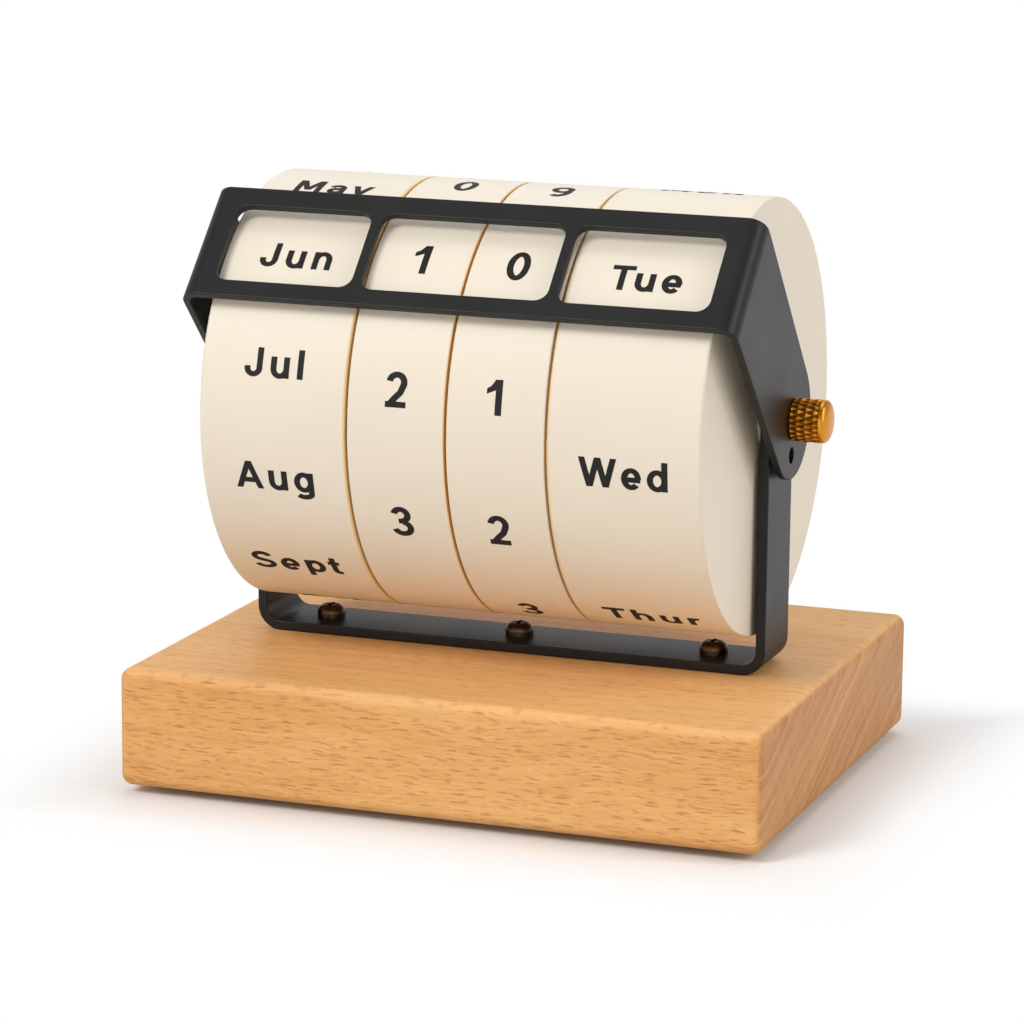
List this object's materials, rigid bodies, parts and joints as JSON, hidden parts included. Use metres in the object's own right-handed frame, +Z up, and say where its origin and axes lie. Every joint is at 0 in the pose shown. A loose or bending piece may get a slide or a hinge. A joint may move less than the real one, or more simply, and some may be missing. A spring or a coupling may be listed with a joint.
{
  "type": "perpetual desk calendar",
  "caption": "Desk calendar with turning month, date and weekday wheels behind a tilting window frame, on a wooden block.",
  "frame": {"origin": "on the table, under the middle of the wooden block", "axes": "+X along the axle to the viewer's right, +Y to the back, +Z up"},
  "size_m": [0.12, 0.095, 0.108],
  "materials": {
    "beech": "clear satin oil",
    "felt": "pressed felt",
    "black_paint": "satin",
    "bronzed_steel": "dark bronze",
    "steel": "turned",
    "ivory_plastic": "matt",
    "nylon": "natural",
    "brass": "knurled and polished"
  },
  "bodies": {
    "stand": {"wooden_base": "beech", "foot_pads": "felt", "bracket": "black_paint", "bracket_screws": "bronzed_steel", "axle": "steel", "month_spacer": "nylon", "tens_spacer": "nylon", "units_spacer": "nylon", "spring_washer": "steel", "left_end_washer": "nylon", "right_end_washer": "nylon", "left_arm_washer": "nylon", "right_arm_washer": "nylon"},
    "month": {"month_wheel": "ivory_plastic", "month_cap": "ivory_plastic"},
    "tens": {"tens_wheel": "ivory_plastic", "tens_cap": "ivory_plastic"},
    "units": {"units_wheel": "ivory_plastic", "units_cap": "ivory_plastic"},
    "weekday": {"weekday_wheel": "ivory_plastic", "weekday_cap": "ivory_plastic"},
    "window": {"window_frame": "black_paint"},
    "right_nut": {"right_thumb_nut": "brass"},
    "left_nut": {"left_thumb_nut": "brass"}
  },
  "joints": [
    {"name": "month_turn", "type": "hinge", "parent": "stand", "child": "month", "pos_m": [0, -0.0026, 0.06885], "axis": [1, 0, 0], "continuous": true},
    {"name": "tens_turn", "type": "hinge", "parent": "stand", "child": "tens", "pos_m": [0, -0.0026, 0.06885], "axis": [1, 0, 0], "continuous": true},
    {"name": "units_turn", "type": "hinge", "parent": "stand", "child": "units", "pos_m": [0, -0.0026, 0.06885], "axis": [1, 0, 0], "continuous": true},
    {"name": "weekday_turn", "type": "hinge", "parent": "stand", "child": "weekday", "pos_m": [0, -0.0026, 0.06885], "axis": [1, 0, 0], "continuous": true},
    {"name": "window_tilt", "type": "hinge", "parent": "stand", "child": "window", "pos_m": [0, -0.0026, 0.06885], "axis": [1, 0, 0], "range_deg": [-190, 105]},
    {"name": "right_nut_turn", "type": "hinge", "parent": "stand", "child": "right_nut", "pos_m": [0, -0.0026, 0.06885], "axis": [1, 0, 0], "range_deg": [0, 540]},
    {"name": "left_nut_turn", "type": "hinge", "parent": "stand", "child": "left_nut", "pos_m": [0, -0.0026, 0.06885], "axis": [-1, 0, 0], "range_deg": [0, 540]}
  ]
}
